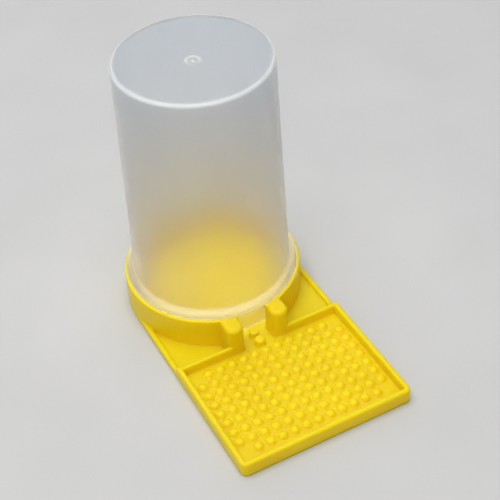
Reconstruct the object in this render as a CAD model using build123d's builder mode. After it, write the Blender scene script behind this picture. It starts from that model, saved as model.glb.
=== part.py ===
from build123d import *
from math import sqrt
import os

# Bee entrance feeder: a frosted syrup cup stands mouth down in the socket of a moulded base,
# and the base carries a studded feeding tray that is pushed into a hive entrance.
# Origin: on the cup's axis, at the underside of the base. +Z is up and the tray reaches towards -Y.
# Millimetres.

# ---- driving dimensions: base and socket ----
base_width = 85.2            # across the tray and the apron
floor_thickness = 2.0        # flat floor under the socket, the apron and the tray
floor_edge_radius = 0.5      # around the underside
socket_height = 18.0         # top of the socket ring above the underside
ring_inset = 0.1             # foot of the ring inside the edge of the floor
ring_wall = 2.3              # thickness of the ring wall at its foot
ring_flare = 0.1             # the ring's outside grows by this much towards its top

# ---- driving dimensions: gate ----
gate_width = 15.0            # clear gap between the two gate posts
post_width = 8.4             # each gate post, along X
post_reach = 6.7             # front faces of the posts in front of the ring
post_edge_radius = 3.8       # rounded front corners of the posts
post_top_radius = 1.8
channel_reach = 1.4          # the low gate floor runs on into the tray by this much

# ---- driving dimensions: tray, cross walls and apron rails ----
tray_length = 62.5           # from the posts' front faces to the front of the tray
tray_floor_rise = 1.0        # tray floor above the socket floor
tray_wall_height = 5.8       # tray rim and cross walls above the socket floor
tray_wall = 2.6              # thickness of the tray rim
front_corner_radius = 3.0    # the tray's two front corners, in plan
tray_wall_edge_radius = 1.0  # rounded top edges of the tray rim
cross_wall = 2.0             # thickness of the two walls between tray and apron
cross_wall_edge_radius = 0.8
cross_wall_setback = 0.3     # front faces of the cross walls behind those of the posts
rim_slope_length = 3.2       # where the tray rim comes down to the apron rail
apron_rail_height = 1.8      # apron rails above the floor
apron_rail = 2.4             # thickness of the apron rails
apron_rail_edge_radius = 0.6

# ---- driving dimensions: studs and pegs ----
stud_pitch = 6.0
stud_radius = 2.3
stud_height = 1.7
stud_side_margin = 2.7       # least distance from a stud's middle to the rim at each side
stud_front_margin = 5.0      # least distance from a stud's middle to the rim at the front
stud_back_margin = 4.8       # back row's middle line in front of the posts
peg_radius = 2.3             # two taller pegs carry the middle column on through the gate
peg_height = 3.8
peg_edge_radius = 0.7
peg_count = 2

# ---- driving dimensions: cup ----
cup_height = 134.2           # closed end above the underside of the base
cup_wall_thickness = 1.0
cup_taper = 2.4              # radius lost from the mouth to the closed end
cup_end_thickness = 1.6
cup_end_edge_radius = 1.3    # rounded edge round the closed end
cup_end_land = 2.0           # flat edge round the dished end
cup_end_dish = 1.4           # the middle of the end lies lower than its edge by this much
gate_ring_radius = 3.0       # shallow dimple round the moulding gate mark
gate_ring_depth = 0.3
gate_nub_radius = 0.8
flange_thickness = 3.3
flange_inset = 1.3           # edge of the flange inside the ring's top outer edge
flange_edge_radius = 2.0
skirt_wall = 1.4
skirt_step = 0.6             # inside of the skirt outside the foot of the cup wall
skirt_bottom_gap = 4.5       # feed gap between the floor and the skirt's lower edge
skirt_edge_radius = 0.4

# ---- fits ----
skirt_clearance = 0.3        # skirt in the socket ring, all round

# ---- derived places ----
half_width = base_width / 2
floor_top = floor_thickness
ring_outer_foot = half_width - ring_inset
ring_outer_top = ring_outer_foot + ring_flare
ring_inner = ring_outer_foot - ring_wall
skirt_outer = ring_inner - skirt_clearance
skirt_inner = skirt_outer - skirt_wall
skirt_bottom = floor_top + skirt_bottom_gap
cup_mouth_radius = skirt_inner - skirt_step
cup_end_radius = cup_mouth_radius - cup_taper
flange_bottom = socket_height
flange_top = flange_bottom + flange_thickness
flange_outer = ring_outer_top - flange_inset
post_inner_x = gate_width / 2
post_outer_x = post_inner_x + post_width
post_front_y = -(ring_outer_foot + post_reach)
tray_front_y = post_front_y - tray_length
tray_inner_x = half_width - tray_wall
tray_inner_front_y = tray_front_y + tray_wall
tray_floor_top = floor_top + tray_floor_rise
tray_wall_top = floor_top + tray_wall_height
tray_inner_radius = max(front_corner_radius - tray_wall, 0.5)
apron_rail_top = floor_top + apron_rail_height
cross_front_y = post_front_y + cross_wall_setback
cross_back_y = cross_front_y + cross_wall
rim_back_y = cross_back_y + rim_slope_length
back_row_y = post_front_y - stud_back_margin
stud_columns = int(2 * (tray_inner_x - stud_side_margin) / stud_pitch) + 1
stud_rows = int((back_row_y - tray_inner_front_y - stud_front_margin) / stud_pitch) + 1

os.makedirs("parts", exist_ok=True)


def save(piece, node):
    """Label one finished sub-part and write it as its own node."""
    piece.label = node
    export_step(piece, f"parts/{node}.step")


# ---- base floor: tray, apron and round socket floor in one flat plate ----
with BuildPart() as base_floor:
    with BuildSketch() as floor_plan:
        with Locations((0, tray_front_y / 2)):
            Rectangle(base_width, -tray_front_y)
        fillet(floor_plan.vertices().group_by(Axis.Y)[0], front_corner_radius)
        Circle(half_width)
    extrude(amount=floor_thickness)
    fillet(base_floor.faces().sort_by(Axis.Z)[0].edges(), floor_edge_radius)
save(base_floor.part, "base_floor")


# ---- socket ring: a flared wall, open at the front between the gate posts ----
with BuildPart() as socket_ring:
    with BuildSketch(Plane.XZ):
        with BuildLine():
            Polyline(
                (ring_inner, floor_top),
                (ring_outer_foot, floor_top),
                (ring_outer_top, socket_height),
                (ring_inner, socket_height),
                close=True,
            )
        make_face()
    revolve(axis=Axis.Z)
    with BuildSketch(Plane.XY.offset(floor_top)):
        with Locations((0, -ring_outer_top)):
            Rectangle(gate_width, 2 * ring_outer_top)
    extrude(amount=socket_height, mode=Mode.SUBTRACT)
save(socket_ring.part, "socket_ring")


# ---- gate posts: one each side of the gate, against the outside of the ring ----
with BuildPart() as ring_outside:
    with BuildSketch(Plane.XZ):
        with BuildLine():
            Polyline(
                (0, floor_top),
                (ring_outer_foot, floor_top),
                (ring_outer_top, socket_height),
                (0, socket_height),
                close=True,
            )
        make_face()
    revolve(axis=Axis.Z)


def make_gate_post(side):
    """A rounded post whose back is hollowed to the outside of the ring."""
    with BuildPart() as post:
        with BuildSketch(Plane.XY.offset(floor_top)):
            with Locations((side * (post_inner_x + post_outer_x) / 2, post_front_y / 2)):
                Rectangle(post_width, -post_front_y)
        extrude(amount=socket_height - floor_top)
        fillet(post.edges().filter_by(Axis.Z).group_by(Axis.Y)[0], post_edge_radius)
        top_edges = post.faces().sort_by(Axis.Z)[-1].edges()
        fillet(top_edges.sort_by(Axis.Y)[:-1], post_top_radius)
        add(ring_outside.part, mode=Mode.SUBTRACT)
    return post.part


gate_post_left = make_gate_post(-1)
gate_post_right = make_gate_post(1)
save(gate_post_left, "gate_post_left")
save(gate_post_right, "gate_post_right")


# ---- tray rim: a U of low wall on the left, front and right of the tray ----
rim_length = rim_back_y - tray_front_y


def tray_hollow(height, back_y):
    """The space inside the rim, from the socket floor's level up and from the front back to back_y."""
    with BuildPart() as hollow:
        with BuildSketch(Plane.XY.offset(floor_top)) as hollow_plan:
            with Locations((0, (tray_inner_front_y + back_y) / 2)):
                Rectangle(2 * tray_inner_x, back_y - tray_inner_front_y)
            fillet(hollow_plan.vertices().group_by(Axis.Y)[0], tray_inner_radius)
        extrude(amount=height)
    return hollow.part


with BuildPart() as tray_rim:
    with BuildSketch(Plane.XY.offset(floor_top)) as rim_outline:
        with Locations((0, tray_front_y + rim_length / 2)):
            Rectangle(base_width, rim_length)
        fillet(rim_outline.vertices().group_by(Axis.Y)[0], front_corner_radius)
    extrude(amount=tray_wall_height)
    add(tray_hollow(tray_wall_height, rim_back_y), mode=Mode.SUBTRACT)
    rim_top_edges = tray_rim.faces().sort_by(Axis.Z)[-1].edges()
    fillet(rim_top_edges.sort_by(Axis.Y)[:-2], tray_wall_edge_radius)
    with BuildSketch(Plane.YZ):
        with BuildLine():
            Polyline(
                (cross_back_y, tray_wall_top),
                (rim_back_y, apron_rail_top),
                (rim_back_y + tray_wall, apron_rail_top),
                (rim_back_y + tray_wall, tray_wall_top + tray_wall),
                (cross_back_y, tray_wall_top + tray_wall),
                close=True,
            )
        make_face()
    extrude(amount=base_width, both=True, mode=Mode.SUBTRACT)
save(tray_rim.part, "tray_rim")


# ---- tray floor: stands a little above the gate floor, which runs into it as a short channel ----
with BuildPart() as tray_floor:
    add(tray_hollow(tray_floor_rise, cross_front_y))
    with BuildSketch(Plane.XY.offset(floor_top)):
        with Locations((0, post_front_y - channel_reach / 2 + cross_wall_setback)):
            Rectangle(gate_width, channel_reach + 2 * cross_wall_setback)
    extrude(amount=tray_floor_rise, mode=Mode.SUBTRACT)
    add(gate_post_left, mode=Mode.SUBTRACT)
    add(gate_post_right, mode=Mode.SUBTRACT)
save(tray_floor.part, "tray_floor")


# ---- cross walls: from each gate post out to the tray rim ----
def make_cross_wall(side, post, node):
    """A low wall between the tray and the apron, hollowed where it meets the rounded post."""
    post_middle_x = (post_inner_x + post_outer_x) / 2
    length = tray_inner_x - post_middle_x
    with BuildPart() as wall:
        with BuildSketch(Plane.XY.offset(floor_top)):
            with Locations((side * (post_middle_x + length / 2), (cross_front_y + cross_back_y) / 2)):
                Rectangle(length, cross_wall)
        extrude(amount=tray_wall_height)
        top_edges = wall.faces().sort_by(Axis.Z)[-1].edges().filter_by(Axis.X)
        fillet(top_edges, cross_wall_edge_radius)
        add(post, mode=Mode.SUBTRACT)
    save(wall.part, node)


make_cross_wall(-1, gate_post_left, "cross_wall_left")
make_cross_wall(1, gate_post_right, "cross_wall_right")


# ---- apron rails: low edges from the tray rim back to where the ring meets the side ----
def make_apron_rail(side, node):
    """A low rail along one side of the apron, hollowed where it meets the ring."""
    with BuildPart() as rail:
        with BuildSketch(Plane.XY.offset(floor_top)):
            with Locations((side * (half_width - apron_rail / 2), rim_back_y / 2)):
                Rectangle(apron_rail, -rim_back_y)
        extrude(amount=apron_rail_height)
        fillet(rail.faces().sort_by(Axis.Z)[-1].edges().filter_by(Axis.Y), apron_rail_edge_radius)
        add(ring_outside.part, mode=Mode.SUBTRACT)
    save(rail.part, node)


make_apron_rail(-1, "apron_rail_left")
make_apron_rail(1, "apron_rail_right")


# ---- studs: a square grid of low domes on the tray floor, without its four corners ----
stud_sphere_radius = (stud_radius**2 + stud_height**2) / (2 * stud_height)
with BuildPart() as stud:
    with BuildSketch(Plane.XZ):
        with BuildLine():
            Line((0, 0), (stud_radius, 0))
            RadiusArc((stud_radius, 0), (0, stud_height), -stud_sphere_radius)
            Line((0, stud_height), (0, 0))
        make_face()
    revolve(axis=Axis.Z)

stud_places = []
for column in range(stud_columns):
    for row in range(stud_rows):
        at_corner = column in (0, stud_columns - 1) and row in (0, stud_rows - 1)
        if not at_corner:
            stud_x = (column - (stud_columns - 1) / 2) * stud_pitch
            stud_places.append((stud_x, back_row_y - row * stud_pitch, tray_floor_top))

with BuildPart() as tray_studs:
    with Locations(*stud_places):
        add(stud.part)
save(tray_studs.part, "tray_studs")


# ---- gate pegs: two taller round pegs that carry the middle column on through the gate ----
with BuildPart() as gate_pegs:
    with BuildSketch(Plane.XY.offset(floor_top)):
        for step in range(1, peg_count + 1):
            with Locations((0, back_row_y + step * stud_pitch)):
                Circle(peg_radius)
    extrude(amount=peg_height)
    fillet(gate_pegs.edges().filter_by(GeomType.CIRCLE).group_by(Axis.Z)[-1], peg_edge_radius)
save(gate_pegs.part, "gate_pegs")


# ---- cup: wall, closed end, flange and skirt, all on the socket's axis ----
cup_slope = cup_taper / (cup_height - flange_bottom)
end_inside = cup_height - cup_end_thickness
dish_radius = cup_end_radius - cup_end_land


def cup_outer_at(height):
    """Outside radius of the tapered cup wall at a height."""
    return cup_end_radius + cup_slope * (cup_height - height)


def dished(radius, edge_radius, edge_height):
    """Height of the dished end at a radius: a sphere through its edge, lowest on the axis."""
    sphere_radius = (edge_radius**2 + cup_end_dish**2) / (2 * cup_end_dish)
    return edge_height - cup_end_dish + sphere_radius - sqrt(sphere_radius**2 - radius**2)


with BuildPart() as cup_wall:
    with BuildSketch(Plane.XZ):
        with BuildLine():
            Polyline(
                (cup_outer_at(flange_bottom) - cup_wall_thickness, flange_bottom),
                (cup_outer_at(flange_bottom), flange_bottom),
                (cup_outer_at(end_inside), end_inside),
                (cup_outer_at(end_inside) - cup_wall_thickness, end_inside),
                close=True,
            )
        make_face()
    revolve(axis=Axis.Z)
save(cup_wall.part, "cup_wall")

end_inner_radius = cup_outer_at(end_inside) - cup_wall_thickness
gate_ring_top = dished(gate_ring_radius, dish_radius, cup_height)
gate_nub_top = dished(0, dish_radius, cup_height)
gate_ring_floor = gate_nub_top - gate_ring_depth
with BuildPart() as cup_end:
    with BuildSketch(Plane.XZ) as end_section:
        with BuildLine():
            ThreePointArc(
                (0, end_inside - cup_end_dish),
                (end_inner_radius / 2, dished(end_inner_radius / 2, end_inner_radius, end_inside)),
                (end_inner_radius, end_inside),
            )
            Polyline(
                (end_inner_radius, end_inside),
                (cup_outer_at(end_inside), end_inside),
                (cup_end_radius, cup_height),
                (dish_radius, cup_height),
            )
            ThreePointArc(
                (dish_radius, cup_height),
                (dish_radius / 2, dished(dish_radius / 2, dish_radius, cup_height)),
                (gate_ring_radius, gate_ring_top),
            )
            Polyline(
                (gate_ring_radius, gate_ring_top),
                (gate_ring_radius, gate_ring_floor),
                (gate_nub_radius, gate_ring_floor),
                (gate_nub_radius, gate_nub_top),
                (0, gate_nub_top),
                (0, end_inside - cup_end_dish),
            )
        make_face()
        rim_corner = end_section.vertices().group_by(Axis.Y)[-1].sort_by(Axis.X)[-1]
        fillet(rim_corner, min(cup_end_edge_radius, 0.9 * cup_end_thickness))
    revolve(axis=Axis.Z)
save(cup_end.part, "cup_end")

with BuildPart() as cup_flange:
    with BuildSketch(Plane.XZ) as flange_section:
        with BuildLine():
            Polyline(
                (cup_outer_at(flange_bottom), flange_bottom),
                (flange_outer, flange_bottom),
                (flange_outer, flange_top),
                (cup_outer_at(flange_top), flange_top),
                close=True,
            )
        make_face()
        flange_corner = flange_section.vertices().group_by(Axis.Y)[-1].sort_by(Axis.X)[-1]
        fillet(flange_corner, min(flange_edge_radius, 0.7 * flange_thickness))
    revolve(axis=Axis.Z)
save(cup_flange.part, "cup_flange")

with BuildPart() as cup_skirt:
    with BuildSketch(Plane.XZ) as skirt_section:
        with BuildLine():
            Polyline(
                (skirt_inner, skirt_bottom),
                (skirt_outer, skirt_bottom),
                (skirt_outer, flange_bottom),
                (skirt_inner, flange_bottom),
                close=True,
            )
        make_face()
        fillet(skirt_section.vertices().group_by(Axis.Y)[0], skirt_edge_radius)
    revolve(axis=Axis.Z)
save(cup_skirt.part, "cup_skirt")
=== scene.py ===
import bpy, bmesh, math
from mathutils import Matrix, Vector


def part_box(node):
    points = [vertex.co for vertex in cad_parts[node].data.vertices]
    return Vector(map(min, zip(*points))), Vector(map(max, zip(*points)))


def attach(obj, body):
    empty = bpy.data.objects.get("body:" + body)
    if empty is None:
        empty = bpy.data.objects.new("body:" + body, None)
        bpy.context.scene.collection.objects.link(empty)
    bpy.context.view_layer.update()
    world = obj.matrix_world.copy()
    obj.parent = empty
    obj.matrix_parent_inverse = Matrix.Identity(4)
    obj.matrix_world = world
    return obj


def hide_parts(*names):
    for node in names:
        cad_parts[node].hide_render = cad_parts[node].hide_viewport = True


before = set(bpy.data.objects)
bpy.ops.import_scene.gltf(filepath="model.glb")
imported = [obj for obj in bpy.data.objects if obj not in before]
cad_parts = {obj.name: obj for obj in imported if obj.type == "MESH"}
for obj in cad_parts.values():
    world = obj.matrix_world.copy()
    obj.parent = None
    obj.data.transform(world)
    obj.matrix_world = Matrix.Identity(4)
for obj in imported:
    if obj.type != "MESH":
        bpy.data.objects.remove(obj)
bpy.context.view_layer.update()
bpy.context.scene.view_settings.view_transform = "Standard"
MM = 0.001

BASE_NODES = [
    "base_floor", "socket_ring", "gate_post_left", "gate_post_right", "tray_floor", "tray_rim",
    "cross_wall_left", "cross_wall_right", "apron_rail_left", "apron_rail_right",
]
CUP_NODES = ["cup_wall", "cup_end", "cup_flange", "cup_skirt"]

# the cup's closed end, dished, with a round dimple and a nub where the plastic was let into the mould
END_THICKNESS = 1.6 * MM
END_LAND = 2.0 * MM         # from the dish's edge out to the cup's outside
DIMPLE_RADIUS = 3.0 * MM
DIMPLE_DEPTH = 0.3 * MM
NUB_RADIUS = 0.8 * MM


# ------------------------------------------------------------------ helpers
def new_object(name, mesh):
    """A mesh object in the scene."""
    obj = bpy.data.objects.new(name, mesh)
    bpy.context.scene.collection.objects.link(obj)
    return obj


def applied(obj):
    """Replaces an object's mesh by what its modifiers make of it."""
    graph = bpy.context.evaluated_depsgraph_get()
    mesh = bpy.data.meshes.new_from_object(obj.evaluated_get(graph))
    obj.modifiers.clear()
    obj.data = mesh


def shade_smooth(obj):
    for face in obj.data.polygons:
        face.use_smooth = True


def lathe(name, profile, steps):
    """A closed solid of revolution round Z from (radius, height) points; a radius of 0 is on the axis."""
    bm = bmesh.new()
    rings = []
    for radius, height in profile:
        if radius == 0:
            rings.append([bm.verts.new((0, 0, height))])
        else:
            ring = []
            for i in range(steps):
                turn = 2 * math.pi * i / steps
                ring.append(bm.verts.new((radius * math.cos(turn), radius * math.sin(turn), height)))
            rings.append(ring)
    for low, high in zip(rings, rings[1:]):
        for i in range(steps):
            j = (i + 1) % steps
            if len(low) == 1:
                bm.faces.new((low[0], high[i], high[j]))
            elif len(high) == 1:
                bm.faces.new((low[i], high[0], low[j]))
            else:
                bm.faces.new((low[i], high[i], high[j], low[j]))
    bmesh.ops.recalc_face_normals(bm, faces=bm.faces)
    mesh = bpy.data.meshes.new(name)
    bm.to_mesh(mesh)
    bm.free()
    return new_object(name, mesh)


def arc(centre, radius, start, end, steps):
    """Points along an arc in the (radius, height) plane, angles in degrees."""
    points = []
    for i in range(steps + 1):
        turn = math.radians(start + (end - start) * i / steps)
        points.append((centre[0] + radius * math.cos(turn), centre[1] + radius * math.sin(turn)))
    return points


def line(start, end, steps):
    """Points along a straight stretch, without its first."""
    points = []
    for i in range(1, steps + 1):
        t = i / steps
        points.append((start[0] + (end[0] - start[0]) * t, start[1] + (end[1] - start[1]) * t))
    return points


# ------------------------------------------------------------------ materials
NOISE_RANGE = (0.3, 0.7)                # the range that most values of a noise texture lie in
YELLOW_DEEP = (0.78, 0.59, 0.003)
YELLOW_PALE = (0.83, 0.635, 0.006)
COOL_DEEP = (0.78, 0.815, 0.86)         # the cup towards its closed end
COOL_PALE = (0.82, 0.855, 0.90)
PLAIN_DEEP = (0.79, 0.785, 0.775)       # the cup's middle
PLAIN_PALE = (0.83, 0.825, 0.815)
PAINTED_BASE_GLOW = (0.89, 0.83, 0.70, 1)      # painted yellow glow on the cup's foot, standing in for light from the yellow base
WARM_WHITE = (0.98, 0.92, 0.74, 1)      # the flange
SHADOW_TINT = (0.84, 0.85, 0.86, 1)     # what each of the cup's surfaces lets through of the lamps
PAPER_DEEP = (0.54, 0.54, 0.545)
PAPER_PALE = (0.57, 0.57, 0.575)


class Nodes:
    """A short way to write node trees."""

    def __init__(self, name):
        self.material = bpy.data.materials.new(name)
        self.material.use_nodes = True
        self.tree = self.material.node_tree
        self.shader = self.tree.nodes["Principled BSDF"]
        self.place = self.add("ShaderNodeTexCoord").outputs["Object"]

    def add(self, kind, **settings):
        node = self.tree.nodes.new(kind)
        for key, value in settings.items():
            setattr(node, key, value)
        return node

    def link(self, source, target):
        self.tree.links.new(source, target)

    def noise(self, scale, detail=2.0, stretch=None):
        node = self.add("ShaderNodeTexNoise")
        node.inputs["Scale"].default_value = scale
        node.inputs["Detail"].default_value = detail
        place = self.place
        if stretch:
            mapping = self.add("ShaderNodeMapping")
            mapping.inputs["Scale"].default_value = stretch
            self.link(self.place, mapping.inputs["Vector"])
            place = mapping.outputs["Vector"]
        self.link(place, node.inputs["Vector"])
        return node.outputs["Fac"]

    def ramp(self, value, low, high, colours):
        node = self.add("ShaderNodeValToRGB")
        node.color_ramp.elements[0].position = low
        node.color_ramp.elements[1].position = high
        node.color_ramp.elements[0].color = (*colours[0], 1)
        node.color_ramp.elements[1].color = (*colours[1], 1)
        self.link(value, node.inputs["Fac"])
        return node.outputs["Color"]

    def to_range(self, value, low, high, out_low, out_high):
        node = self.add("ShaderNodeMapRange")
        node.inputs["From Min"].default_value = low
        node.inputs["From Max"].default_value = high
        node.inputs["To Min"].default_value = out_low
        node.inputs["To Max"].default_value = out_high
        self.link(value, node.inputs["Value"])
        return node.outputs["Result"]

    def height(self):
        node = self.add("ShaderNodeSeparateXYZ")
        self.link(self.place, node.inputs["Vector"])
        return node.outputs["Z"]

    def radius(self):
        """Distance from the Z axis."""
        flat = self.add("ShaderNodeVectorMath", operation="MULTIPLY")
        self.link(self.place, flat.inputs[0])
        flat.inputs[1].default_value = (1, 1, 0)
        length = self.add("ShaderNodeVectorMath", operation="LENGTH")
        self.link(flat.outputs["Vector"], length.inputs[0])
        return length.outputs["Value"]

    def maths(self, operation, first, second):
        node = self.add("ShaderNodeMath", operation=operation)
        for socket, value in zip(node.inputs, (first, second)):
            if isinstance(value, (int, float)):
                socket.default_value = value
            else:
                self.link(value, socket)
        return node.outputs["Value"]

    def blend(self, share, first, second):
        """A colour that goes from first to second as share goes from 0 to 1."""
        node = self.add("ShaderNodeMix", data_type="RGBA")
        self.link(share, node.inputs["Factor"])
        sockets = [s for s in node.inputs if s.type == "RGBA"]
        for socket, value in zip(sockets, (first, second)):
            if isinstance(value, tuple):
                socket.default_value = value
            else:
                self.link(value, socket)
        return next(s for s in node.outputs if s.type == "RGBA")

    def bump(self, height, distance, strength=1.0, below=None):
        node = self.add("ShaderNodeBump")
        node.inputs["Distance"].default_value = distance
        node.inputs["Strength"].default_value = strength
        self.link(height, node.inputs["Height"])
        if below:
            self.link(below, node.inputs["Normal"])
        return node.outputs["Normal"]

    def set(self, **values):
        for key, value in values.items():
            self.shader.inputs[key.replace("_", " ")].default_value = value


def base_plastic():
    """Yellow moulded polypropylene: a soft mottled gloss, fine grain and faint flow marks."""
    m = Nodes("base_plastic")
    cloud = m.noise(38, 3)
    colour = m.ramp(cloud, *NOISE_RANGE, (YELLOW_DEEP, YELLOW_PALE))
    m.link(colour, m.shader.inputs["Base Color"])
    rough = m.to_range(m.noise(210, 4), *NOISE_RANGE, 0.38, 0.47)
    m.link(rough, m.shader.inputs["Roughness"])
    grain = m.bump(m.noise(1500, 3), 0.00003, 0.5)
    flow = m.bump(m.noise(95, 2), 0.00012, 0.35, grain)
    m.link(flow, m.shader.inputs["Normal"])
    m.set(IOR=1.49, Specular_IOR_Level=0.24, Subsurface_Weight=0.9, Subsurface_Scale=0.006)
    m.shader.inputs["Subsurface Radius"].default_value = (1.0, 0.70, 0.06)
    return m.material


def cup_plastic():
    """Natural polypropylene, milky and see-through.

    It is whiter at the end's edge, the gate mark and the flange, and has a painted yellow glow towards its
    foot, standing in for the yellow base's light.
    """
    m = Nodes("cup_plastic")
    cloud = m.noise(30, 3, (1, 1, 0.45))
    cool = m.ramp(cloud, *NOISE_RANGE, (COOL_DEEP, COOL_PALE))
    plain = m.ramp(cloud, *NOISE_RANGE, (PLAIN_DEEP, PLAIN_PALE))
    rough = m.to_range(m.noise(60, 3, (1, 1, 0.3)), *NOISE_RANGE, 0.33, 0.39)
    m.link(rough, m.shader.inputs["Roughness"])
    drawn = m.noise(260, 3, (1, 1, 0.06))
    m.link(m.bump(drawn, 0.00004, 0.5), m.shader.inputs["Normal"])

    end_low, end_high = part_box("cup_end")
    flange_low, flange_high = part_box("cup_flange")
    height = m.height()
    radius = m.radius()
    dish_floor = end_low.z + END_THICKNESS
    near_end = m.to_range(height, end_high.z - 1.9 * MM, end_high.z - 0.8 * MM, 0, 1)
    near_edge = m.to_range(radius, end_high.x - 2.3 * MM, end_high.x - 1.1 * MM, 0, 1)
    rim = m.maths("MULTIPLY", near_end, near_edge)

    outside_only = m.to_range(height, dish_floor - 1.2 * MM, dish_floor - 0.6 * MM, 0, 1)
    from_dimple = m.maths("ABSOLUTE", m.maths("SUBTRACT", radius, DIMPLE_RADIUS), 0)
    dimple = m.to_range(from_dimple, 0.2 * MM, 1.0 * MM, 0.8, 0)
    nub = m.to_range(radius, 0.6 * MM, 1.5 * MM, 1, 0)
    gate_mark = m.maths("MULTIPLY", outside_only, m.maths("MAXIMUM", dimple, nub))

    above = m.to_range(height, flange_low.z - 0.8 * MM, flange_low.z + 0.2 * MM, 0, 1)
    below = m.to_range(height, flange_high.z, flange_high.z + 1.0 * MM, 1, 0)
    flange = m.maths("MULTIPLY", above, below)

    thick = m.maths("MAXIMUM", m.maths("MULTIPLY", rim, 0.85), m.maths("MULTIPLY", flange, 0.36))
    passing = m.to_range(m.maths("MAXIMUM", thick, gate_mark), 0, 1, 0.93, 0.35)
    m.link(passing, m.shader.inputs["Transmission Weight"])

    towards_end = m.to_range(height, end_high.z - 45 * MM, end_high.z - 5 * MM, 0, 1)
    # painted light: the cup's lower wall is tinted yellow, standing in for light from the yellow base
    painted_glow_share = m.to_range(height, flange_high.z + 22 * MM, flange_high.z + 62 * MM, 1, 0)
    body = m.blend(painted_glow_share, m.blend(towards_end, plain, cool), PAINTED_BASE_GLOW)
    m.link(m.blend(flange, body, WARM_WHITE), m.shader.inputs["Base Color"])

    m.set(IOR=1.33, Subsurface_Weight=1.0, Subsurface_Scale=0.006, Sheen_Weight=0.32, Sheen_Roughness=0.45)
    m.shader.inputs["Subsurface Radius"].default_value = (1.0, 1.0, 1.0)

    # shadow rays pass straight through, so that the lamps light the inside of the cup
    clear = m.add("ShaderNodeBsdfTransparent")
    clear.inputs["Color"].default_value = SHADOW_TINT
    mix = m.add("ShaderNodeMixShader")
    m.link(m.add("ShaderNodeLightPath").outputs["Is Shadow Ray"], mix.inputs["Fac"])
    m.link(m.shader.outputs["BSDF"], mix.inputs[1])
    m.link(clear.outputs["BSDF"], mix.inputs[2])
    m.link(mix.outputs["Shader"], m.tree.nodes["Material Output"].inputs["Surface"])
    return m.material


def floor_paper():
    """Plain pale paper, very slightly clouded."""
    m = Nodes("floor_paper")
    colour = m.ramp(m.noise(14, 2), *NOISE_RANGE, (PAPER_DEEP, PAPER_PALE))
    m.link(colour, m.shader.inputs["Base Color"])
    m.set(Roughness=0.85)
    return m.material


# ------------------------------------------------------------------ base: one seamless moulding
STUD_ROOT = 0.5 * MM        # how far a stud reaches into the floor under it
STUD_FOOT = 0.35 * MM       # hollow fillet round a stud's foot
STUD_SPARE = 0.12 * MM      # studs and pegs start this much oversize, and smoothing takes it back
STUD_ARC = 0.86             # share of a stud's dome that is kept above its fillet
PEG_EDGE = 0.7 * MM
STUD_STEPS = 32
MERGE_DISTANCE = 1e-6       # CAD corners this close, in metres, are one point
SKIN_VOXEL = 0.27 * MM


def islands(node):
    """Middle in plan and radius of every separate solid in a CAD node of round studs."""
    bm = bmesh.new()
    bm.from_mesh(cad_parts[node].data)
    bmesh.ops.remove_doubles(bm, verts=bm.verts, dist=MERGE_DISTANCE)
    found = []
    seen = set()
    for start in bm.verts:
        if start in seen:
            continue
        seen.add(start)
        island = [start]
        for vert in island:
            for edge in vert.link_edges:
                other = edge.other_vert(vert)
                if other not in seen:
                    seen.add(other)
                    island.append(other)
        xs = [v.co.x for v in island]
        ys = [v.co.y for v in island]
        found.append(((min(xs) + max(xs)) / 2, (min(ys) + max(ys)) / 2, (max(xs) - min(xs)) / 2))
    bm.free()
    return found


def stud_profile(radius, foot, top):
    """A dome from its top down, with a small hollow fillet at its foot and a hidden root."""
    height = top - foot
    ball = (radius**2 + height**2) / (2 * height)
    lean = math.degrees(math.asin(min(radius / ball, 1)))
    if height > ball:
        lean = 180 - lean
    points = [(0, top)]
    points += arc((0, top - ball), ball, 84, 90 - STUD_ARC * lean, 9)
    dome_end, dome_low = points[-1]
    foot_radius = dome_end + 1.2 * STUD_FOOT
    points += [
        (dome_end + 0.5 * STUD_FOOT, foot + 0.3 * (dome_low - foot)),
        (foot_radius, foot),
        (foot_radius, foot - STUD_ROOT),
        (0, foot - STUD_ROOT),
    ]
    return points


def peg_profile(radius, foot, top):
    """A short round peg from its top down, with a rounded top edge and a hidden root."""
    points = [(0, top), (radius - PEG_EDGE, top)]
    points += arc((radius - PEG_EDGE, top - PEG_EDGE), PEG_EDGE, 80, 0, 7)
    points += [(radius, foot + STUD_FOOT), (radius + STUD_FOOT, foot)]
    points += [(radius + STUD_FOOT, foot - STUD_ROOT), (0, foot - STUD_ROOT)]
    return points


def add_turned(bm, node, profile):
    """Adds a turned solid to bm for every stud or peg of a CAD node."""
    low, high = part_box(node)
    spots = islands(node)
    radius = spots[0][2] + STUD_SPARE
    pattern = lathe("pattern", profile(radius, low.z, high.z + STUD_SPARE), STUD_STEPS)
    for x, y, _ in spots:
        pattern.data.transform(Matrix.Translation((x, y, 0)))
        bm.from_mesh(pattern.data)
        pattern.data.transform(Matrix.Translation((-x, -y, 0)))
    bpy.data.objects.remove(pattern)


def make_base():
    """Joins the base's solids into one moulding and softens every edge and inside corner."""
    bm = bmesh.new()
    for node in BASE_NODES:
        bm.from_mesh(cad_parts[node].data)
    bmesh.ops.remove_doubles(bm, verts=bm.verts, dist=MERGE_DISTANCE)
    add_turned(bm, "tray_studs", stud_profile)
    add_turned(bm, "gate_pegs", peg_profile)
    mesh = bpy.data.meshes.new("base_moulding")
    bm.to_mesh(mesh)
    bm.free()
    obj = new_object("base_moulding", mesh)
    remesh = obj.modifiers.new("one_skin", "REMESH")
    remesh.mode = "VOXEL"
    remesh.voxel_size = SKIN_VOXEL
    soften = obj.modifiers.new("soft_edges", "SMOOTH")
    soften.factor = 0.5
    soften.iterations = 5
    thin = obj.modifiers.new("thin_flats", "DECIMATE")
    thin.ratio = 0.4
    applied(obj)
    shade_smooth(obj)
    obj.data.materials.clear()
    obj.data.materials.append(base_plastic())
    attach(obj, "base")
    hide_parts(*BASE_NODES, "tray_studs", "gate_pegs")


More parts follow.
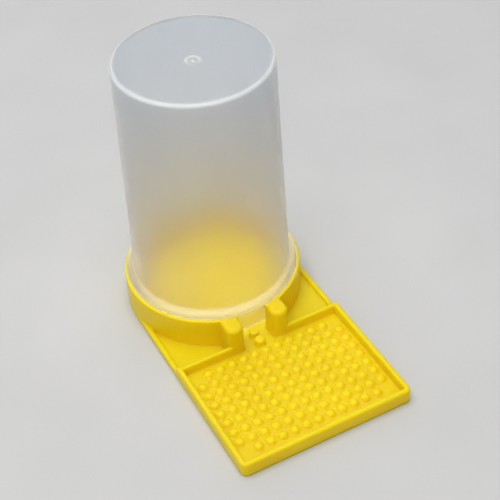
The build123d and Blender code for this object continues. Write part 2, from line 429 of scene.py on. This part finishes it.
# ------------------------------------------------------------------ cup: one thin translucent shell
CUP_WALL = 1.0 * MM
WALL_SLOPE = 0.02           # how much wider the cup gets per length of wall
END_EDGE = 1.3 * MM
INNER_CORNER = 1.2 * MM
NUB_FLAT = 0.7 * NUB_RADIUS
NUB_LOW = 0.05 * MM         # the nub's top lies this far below the dish's lowest point
NUB_EDGE = 0.1 * MM
NUB_DRAFT = 0.05 * MM
DIMPLE_SIDE = 0.25 * MM     # half the width of the dimple's sloping side
WALL_FILLET = 0.6 * MM      # between the wall and the flange
FLANGE_EDGE = 2.0 * MM
FLANGE_LOW_EDGE = 0.2 * MM
MOUTH_BELOW = 0.2 * MM      # from here below the flange's underside to here above it,
MOUTH_ABOVE = 1.2 * MM      # the inside of the skirt slopes into the inside of the wall
SKIRT_WALL = 1.4 * MM
SKIRT_EDGE = 0.5 * MM
CUP_STEPS = 256


def dished(radius, edge_radius, edge_height, depth):
    """Height of a dished surface at a radius: a sphere through its edge, lowest on the axis."""
    sphere_radius = (edge_radius**2 + depth**2) / (2 * depth)
    return edge_height - depth + sphere_radius - math.sqrt(sphere_radius**2 - radius**2)


def make_cup():
    """The cup's whole section, turned round the axis: end, wall, flange and skirt in one skin."""
    _, wall_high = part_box("cup_wall")
    end_low, end_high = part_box("cup_end")
    flange_low, flange_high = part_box("cup_flange")
    skirt_low, skirt_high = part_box("cup_skirt")
    top = end_high.z
    foot_radius = wall_high.x
    end_radius = end_high.x - END_THICKNESS * WALL_SLOPE
    dish = end_high.z - end_low.z - END_THICKNESS
    dish_radius = end_radius - END_LAND
    dish_low = top - dish
    flange_radius = flange_high.x
    flange_top = flange_high.z
    flange_under = flange_low.z
    skirt_radius = skirt_high.x
    skirt_foot = skirt_low.z
    slope = (foot_radius - end_radius) / (top - flange_under)

    def outer(height):
        return end_radius + slope * (top - height)

    # the outside, from the axis out over the end and down the wall
    dimple_floor = dish_low - DIMPLE_DEPTH
    nub_top = dish_low - NUB_LOW
    profile = [(0, nub_top), (NUB_FLAT, nub_top)]
    profile += arc((NUB_RADIUS - NUB_EDGE, nub_top - NUB_EDGE), NUB_EDGE, 90, 0, 3)
    profile += [(NUB_RADIUS + NUB_DRAFT, dimple_floor)]
    profile += line(profile[-1], (DIMPLE_RADIUS - DIMPLE_SIDE, dimple_floor), 3)
    dimple_edge = DIMPLE_RADIUS + DIMPLE_SIDE
    profile += line(profile[-1], (dimple_edge, dished(dimple_edge, dish_radius, top, dish)), 4)
    for radius, _ in line((dimple_edge, 0), (dish_radius, 0), 24):
        profile.append((radius, dished(radius, dish_radius, top, dish)))
    profile += line(profile[-1], (end_radius - END_EDGE, top), 2)
    profile += arc((outer(top - END_EDGE) - END_EDGE, top - END_EDGE), END_EDGE, 85, 0, 8)
    fillet_top = flange_top + WALL_FILLET
    profile += line(profile[-1], (outer(fillet_top), fillet_top), 40)

    # the flange
    profile += arc((outer(flange_top) + WALL_FILLET, fillet_top), WALL_FILLET, 190, 270, 4)
    profile += line(profile[-1], (flange_radius - FLANGE_EDGE, flange_top), 2)
    profile += arc((flange_radius - FLANGE_EDGE, flange_top - FLANGE_EDGE), FLANGE_EDGE, 80, 0, 8)
    low_edge = (flange_radius - FLANGE_LOW_EDGE, flange_under + FLANGE_LOW_EDGE)
    profile += line(profile[-1], (flange_radius, low_edge[1]), 2)
    profile += arc(low_edge, FLANGE_LOW_EDGE, -20, -90, 3)
    profile += line(profile[-1], (skirt_radius, flange_under), 2)

    # the skirt, down its outside and up its inside
    edge_height = skirt_foot + SKIRT_EDGE
    skirt_inner = skirt_radius - SKIRT_WALL
    profile += line(profile[-1], (skirt_radius, edge_height), 6)
    profile += arc((skirt_radius - SKIRT_EDGE, edge_height), SKIRT_EDGE, -15, -90, 5)
    profile += arc((skirt_inner + SKIRT_EDGE, edge_height), SKIRT_EDGE, -90, -165, 5)
    profile += line(profile[-1], (skirt_inner, flange_under - MOUTH_BELOW), 6)

    # the inside of the wall and of the end
    inside_top = top - END_THICKNESS
    corner_height = inside_top - INNER_CORNER
    inner_end = outer(inside_top) - CUP_WALL
    wall_inner = outer(flange_under) - CUP_WALL
    profile += line(profile[-1], (wall_inner, flange_under + MOUTH_ABOVE), 4)
    profile += line(profile[-1], (inner_end, corner_height), 40)
    profile += arc((inner_end - INNER_CORNER, corner_height), INNER_CORNER, 10, 90, 6)
    for radius, _ in line((inner_end - INNER_CORNER, 0), (0, 0), 24):
        profile.append((radius, dished(radius, inner_end, inside_top, dish)))
    obj = lathe("cup_moulding", profile, CUP_STEPS)
    shade_smooth(obj)
    obj.data.materials.append(cup_plastic())
    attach(obj, "cup")
    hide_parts(*CUP_NODES)


# ------------------------------------------------------------------ floor, lights and camera
FLOOR_REACH = 6.0                       # metres from the middle to each side
LIGHT_AIM = (0, -0.03, 0.05)
SKY_COLOUR = (0.90, 0.95, 1.0, 1)
SKY_STRENGTH = 0.30


def make_stage():
    """A plain pale floor that the feeder stands on."""
    bm = bmesh.new()
    bmesh.ops.create_grid(bm, x_segments=8, y_segments=8, size=FLOOR_REACH)
    mesh = bpy.data.meshes.new("paper_floor")
    bm.to_mesh(mesh)
    bm.free()
    floor = new_object("paper_floor", mesh)
    floor.data.materials.append(floor_paper())


def area_light(name, place, size, power, colour):
    """A rectangular lamp turned to the feeder, with its place and size in metres and its power in watts."""
    data = bpy.data.lights.new(name, "AREA")
    data.shape = "RECTANGLE"
    data.size, data.size_y = size
    data.energy = power
    data.color = colour
    light = bpy.data.objects.new(name, data)
    bpy.context.scene.collection.objects.link(light)
    light.location = place
    light.rotation_mode = "QUATERNION"
    light.rotation_quaternion = (Vector(LIGHT_AIM) - Vector(place)).to_track_quat("-Z", "Y")


def make_lights():
    """Soft studio light: an even sky and three large lamps."""
    world = bpy.data.worlds.new("studio")
    world.use_nodes = True
    sky = world.node_tree.nodes["Background"]
    sky.inputs["Color"].default_value = SKY_COLOUR
    sky.inputs["Strength"].default_value = SKY_STRENGTH
    bpy.context.scene.world = world
    area_light("back", place=(0.5, 1.5, 1.1), size=(2.4, 1.4), power=7, colour=(0.96, 0.98, 1.0))
    area_light("front", place=(-0.9, -1.3, 0.9), size=(1.4, 1.0), power=6.5, colour=(1.0, 0.94, 0.86))
    area_light("top", place=(-0.2, 0.0, 1.5), size=(1.1, 1.1), power=19, colour=(1.0, 0.98, 0.95))


VIEW_AZIMUTH = -25.525       # degrees; 0 looks along +Y
VIEW_ELEVATION = 41.957
VIEW_ROLL = -3.839
VIEW_DISTANCE = 0.52445      # metres from the point aimed at
VIEW_AIM = (-0.00016, -0.04413, 0.05861)
VIEW_LENS = 85.785           # millimetres
VIEW_SENSOR = 36             # millimetres


def make_camera():
    """Looks at the feeder from in front, to its left and above, slightly rolled."""
    az = math.radians(VIEW_AZIMUTH)
    el = math.radians(VIEW_ELEVATION)
    roll = math.radians(VIEW_ROLL)
    back = Vector((math.sin(az) * math.cos(el), -math.cos(az) * math.cos(el), math.sin(el)))
    right = (-back).cross(Vector((0, 0, 1))).normalized()
    up = right.cross(-back)
    rolled_right = right * math.cos(roll) + up * math.sin(roll)
    rolled_up = up * math.cos(roll) - right * math.sin(roll)
    data = bpy.data.cameras.new("camera")
    data.sensor_width = VIEW_SENSOR
    data.lens = VIEW_LENS
    camera = bpy.data.objects.new("camera", data)
    bpy.context.scene.collection.objects.link(camera)
    turn = Matrix((rolled_right, rolled_up, back)).transposed()
    camera.matrix_world = Matrix.Translation(Vector(VIEW_AIM) + back * VIEW_DISTANCE) @ turn.to_4x4()
    bpy.context.scene.camera = camera


make_camera()
make_base()
make_cup()
make_stage()
make_lights()
